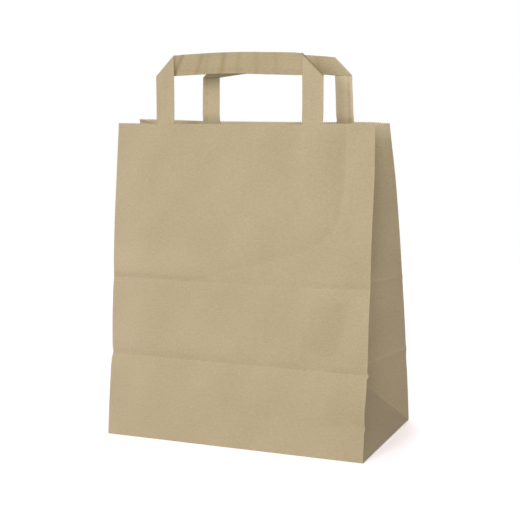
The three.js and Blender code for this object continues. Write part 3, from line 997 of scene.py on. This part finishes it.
def tapeProfile(width):
    # closed section across the tape: edges rounded as quarter circles, flat faces, and a small step at
    # each lap on the lapped face. Gives the places across, the offsets from the middle, and a mask along
    # the laps.
    lapSides = [lap + off for lap in handle["laps"] for off in (-0.15, 0, 0.15)]
    edgeSides = (0.06, 0.2, 0.5, width - 0.5, width - 0.2, width - 0.06)
    q = stations(0.0, width, handle["steps"][1], (*edgeSides, *lapSides))
    edge = np.minimum(q, width - q) / handle["roundEdge"]
    half = handle["thickness"] / 2 * np.sqrt(np.clip(1 - np.clip(1 - edge, 0, 1) ** 2, 0, 1))
    steps = sum(handle["lapStep"] * (1 - ease(lap - 0.1, lap + 0.1, q)) for lap in handle["laps"])
    lapped = half + steps * np.clip(edge, 0, 1)
    lapLines = sum(bell(q, lap, 0.3) for lap in handle["laps"])
    rings = ((q, q[::-1]), (half, -lapped[::-1]), (0 * q, lapLines[::-1]))
    return [np.concatenate(ring)[None, :] for ring in rings]


def tapeRows(look):
    # places along the tape, close together at the two corners, and the slant of the rows, which lie along
    # the 45 degree fold lines at the corners and square elsewhere
    total = 2 * (handle["tuck"] + handle["rise"] - look["width"]) + look["span"]
    corner = handle["tuck"] + handle["rise"] - look["width"]
    other = corner + look["span"]
    near = np.arange(-1.6, 1.7, 0.2)
    tau = stations(0.0, total, handle["steps"][0], np.concatenate([corner + near, other + near]))[:, None]
    turns = [corner - 45, corner - 2, corner + 2, corner + 50]
    turns += [other - 50, other - 2, other + 2, other + 45]
    return tau, np.interp(tau, turns, [0, 1, 1, 0, 0, -1, -1, 0]), total


def tapeShell(look):
    # the section carried along the tape, its offsets along the cross product of the tape's two directions
    q, off, lapLines = tapeProfile(look["width"])
    tau, slant, total = tapeRows(look)
    p = tau + slant * q
    middle, past, pressed = tapeMiddle(look, p, q)
    reach = 0.05
    across = tapeMiddle(look, p, q + reach)[0] - tapeMiddle(look, p, q - reach)[0]
    forward = tapeMiddle(look, p + reach, q)[0] - tapeMiddle(look, p - reach, q)[0]
    points = middle + unit(np.cross(across, forward)) * off[..., None]
    count = q.size // 2
    # the faces' tones; on the rear handle this is painted light where the front handle shades it
    tone = np.repeat(look["tones"], count)[None, :]
    # darker on the strip than on the legs, and painted shade in its wrinkles and recesses
    tone = tone + ease(0, 2, past) * (handle["stripTone"] + pressed * handle["paintedWrinkleShade"])
    # painted shade along the second corner's fold
    tone = tone + look["paintedEdgeShade"] * bell(past, -0.4, 0.7) * (p > total / 2)
    # painted light on the first leg
    tone = tone + look["legPaintedLight"] * (1 - ease(-3, 0, past)) * (p < total / 2)
    tone = tone + handle["toneWaves"] * softWaves(p, 3 * q, look["seed"] + 1, 25, 80)
    masks = paperMasks(np.maximum(lapLines, handle["foldWearAndShade"] * bell(past, 0, 0.5)), tone)
    index = np.arange(masks[..., 0].size).reshape(masks.shape[:2])
    flatFaces = np.stack([index[:, :count], index[:, ::-1][:, :count]])
    caps = [gridQuads(flatFaces[:, 0]), gridQuads(flatFaces[::-1, -1])]
    faces = np.concatenate([gridQuads(index, ring=True), *caps])
    return points.reshape(-1, 3), faces, masks.reshape(-1, 3)[:, :2]


for name, tape, node in (("foldedTapeFront", frontTape, "front_handle"),
                         ("foldedTapeRear", rearTape, "rear_handle")):
    makePiece(name, tapeShell(tape), kraft["kraftTape"], node, meshLook["tapeAngle"])


# The patches inside, glued over the legs

patch = {
    "margin": 20.0,  # past the legs
    "height": 88.0,
    "drop": 4.0,  # under the rim
    "slope": 4.0,  # width in which the paper climbs over a leg
    "thickness": 0.15,
    "curl": 0.5,  # most that its edges lift
    "flutter": 0.06,
    "edgeWear": 0.6,
    "toneWaves": 0.3,
    "step": 2.4,  # between the columns of its grid
    "rows": 41,
}


def patchShell(look):
    # a sheet on the panel that climbs over each leg in a smooth slope; its edges lift a little
    legs = look["span"] / 2
    u = stations(-legs - patch["margin"], legs + patch["margin"], patch["step"])[None, :]
    w = np.linspace(-patch["drop"] - patch["height"], -patch["drop"], patch["rows"])[:, None]
    away = np.abs(u)
    legFoot = legs - look["width"]
    climb = ease(legFoot - patch["slope"], legFoot, away) * (1 - ease(legs, legs + patch["slope"], away))
    on = handle["cadPaper"] + handle["clearance"]
    over = on + handle["clearance"] + handle["thickness"]
    toSide = legs + patch["margin"] - away
    toEnd = np.minimum(w + patch["drop"] + patch["height"], -patch["drop"] - w)
    toEdge = np.minimum(toSide + 0 * w, toEnd + 0 * u)
    lift = patch["curl"] * bell(toEdge, 0, 3) * (1 + softWaves(u, w, look["seed"] + 5, 20, 60)) / 2
    lift = lift + patch["flutter"] * (1 + softWaves(u, w, look["seed"] + 9, 15, 45))
    outer = tapePlace(look, u + look["shift"] + 0 * w, w + 0 * u, blendTo(on, over, climb) + lift)
    tone = patch["toneWaves"] * softWaves(u, w, look["seed"] + 3, 20, 60)
    return thinShell(outer, paperMasks(patch["edgeWear"] * bell(toEdge, 0, 0.5), tone), patch["thickness"])


for name, tape, node in (("gluedPatchFront", frontTape, "front_handle_patch"),
                         ("gluedPatchRear", rearTape, "rear_handle_patch")):
    makePiece(name, patchShell(tape), kraft["kraftPatch"], node)


# Camera, floor and light

view = {
    "azimuth": 23.01,  # degrees
    "elevation": 9.41,
    "roll": -0.78,
    "distance": 1165.7,  # millimetres, as the target and the sensor
    "target": (1.9, 0.0, 159.8),
    "focalPixels": 1258.2,
    "framePixels": 520,
    "sensor": 36.0,
}


def placeObject(name, data, axes, place):
    # an object whose own X, Y and Z are the given axes
    thing = bpy.data.objects.new(name, data)
    rows = [[*row, at] for row, at in zip(np.stack(axes, 1).tolist(), place)]
    thing.matrix_world = Matrix(rows + [[0, 0, 0, 1]])
    bpy.context.scene.collection.objects.link(thing)
    return thing


def makeCamera():
    # looks back along the line given by azimuth and elevation; the roll turns it about that line
    az, el, roll = (np.radians(view[key]) for key in ("azimuth", "elevation", "roll"))
    back = np.array([np.sin(az) * np.cos(el), -np.cos(az) * np.cos(el), np.sin(el)])
    level = unit(np.cross(-back, [0, 0, 1]))
    upright = np.cross(level, -back)
    right = level * np.cos(roll) + upright * np.sin(roll)
    top = upright * np.cos(roll) - level * np.sin(roll)
    data = bpy.data.cameras.new("camera")
    data.sensor_width = view["sensor"]
    data.lens = view["sensor"] * view["focalPixels"] / view["framePixels"]
    data.clip_end = 20
    place = (np.array(view["target"]) + back * view["distance"]) * mm
    bpy.context.scene.camera = placeObject("camera", data, [right, top, back], place.tolist())


whiteColour = (1, 1, 1, 1)
floorLook = {
    "size": 6.0,  # metres
    "level": -0.2,
    "glow": 0.12,
    "seen": (1.72, 1.68, 1.69, 1.0),
    "bounce": (0.45, 0.45, 0.45, 1.0),
    "fade": (0.45, 1.1),  # distances in metres, over which the shaded share gives way to plain white
}


def makeFloor():
    # seen by the camera the floor is a white glow plus a shaded share, so that it keeps the shadow; other
    # rays meet plain pale paper
    edge = floorLook["size"] / 2
    ground = bpy.data.meshes.new("floor")
    corners = [(-edge, -edge, 0), (edge, -edge, 0), (edge, edge, 0), (-edge, edge, 0)]
    ground.from_pydata(corners, [], [(0, 1, 2, 3)])
    ground.transform(Matrix.Translation((0, 0, floorLook["level"] * mm)))
    floor = bpy.data.objects.new("floor", ground)
    bpy.context.scene.collection.objects.link(floor)
    material = bpy.data.materials.new("paleFloor")
    material.use_nodes = True
    tree = material.node_tree
    tree.nodes.clear()
    path = nodeAdd(tree, "LightPath")
    plain = nodeAdd(tree, "BsdfDiffuse", {"Color": floorLook["bounce"]}).outputs[0]
    shaded = nodeAdd(tree, "BsdfDiffuse", {"Color": floorLook["seen"]}).outputs[0]
    glow = nodeAdd(tree, "Emission", {"Color": whiteColour, "Strength": floorLook["glow"]}).outputs[0]
    seen = nodeAdd(tree, "AddShader", {0: shaded, 1: glow}).outputs[0]
    place = nodeAdd(tree, "TexCoord").outputs["Object"]
    away = nodeAdd(tree, "VectorMath", {0: place}, operation="LENGTH").outputs["Value"]
    fade = mapRange(tree, away, *floorLook["fade"], interpolation_type="SMOOTHSTEP")
    white = nodeAdd(tree, "Emission", {"Color": whiteColour, "Strength": 1.0}).outputs[0]
    mixed = mixShader(tree, path.outputs["Is Camera Ray"], plain, mixShader(tree, fade, seen, white))
    nodeAdd(tree, "OutputMaterial", {"Surface": mixed})
    ground.materials.append(material)


light = {
    "even": 0.29,  # strength of the light from all sides
    "tint": (1.035, 0.965, 1.045, 1.0),
    "target": (0.0, 0.0, 0.15),
    "lamps": {  # place in metres, edge length, watts
        "frontLamp": ((-0.36, -2.03, 0.86), 0.6, 12.6),
        "rightLamp": ((0.92, -1.96, 0.45), 1.0, 11.2),
        "raisedLamp": ((0.92, -1.73, 1.15), 1.2, 12.0),
        "backLamp": ((-0.82, 1.75, 1.25), 1.4, 14.0),  # for the sides that the photo doesn't show
    },
}


def makeLight():
    # an even world that the camera sees as white, and square lamps that face the target
    world = bpy.data.worlds.new("studio")
    world.use_nodes = True
    bpy.context.scene.world = world
    tree = world.node_tree
    tree.nodes.clear()
    path = nodeAdd(tree, "LightPath")
    even = nodeAdd(tree, "Background", {"Color": light["tint"], "Strength": light["even"]}).outputs[0]
    white = nodeAdd(tree, "Background", {"Color": whiteColour, "Strength": 1.0}).outputs[0]
    mixed = mixShader(tree, path.outputs["Is Camera Ray"], even, white)
    nodeAdd(tree, "OutputWorld", {"Surface": mixed})
    for name, (place, size, power) in light["lamps"].items():
        lamp = bpy.data.lights.new(name, "AREA")
        lamp.size = size
        lamp.energy = power
        back = unit(np.array(place) - np.array(light["target"]))
        right = unit(np.cross([0, 0, 1], back))
        placeObject(name, lamp, [right, np.cross(back, right), back], place)


makeCamera()
makeFloor()
makeLight()
bpy.context.scene.view_settings.view_transform = "Standard"
print("camera, floor and light made")
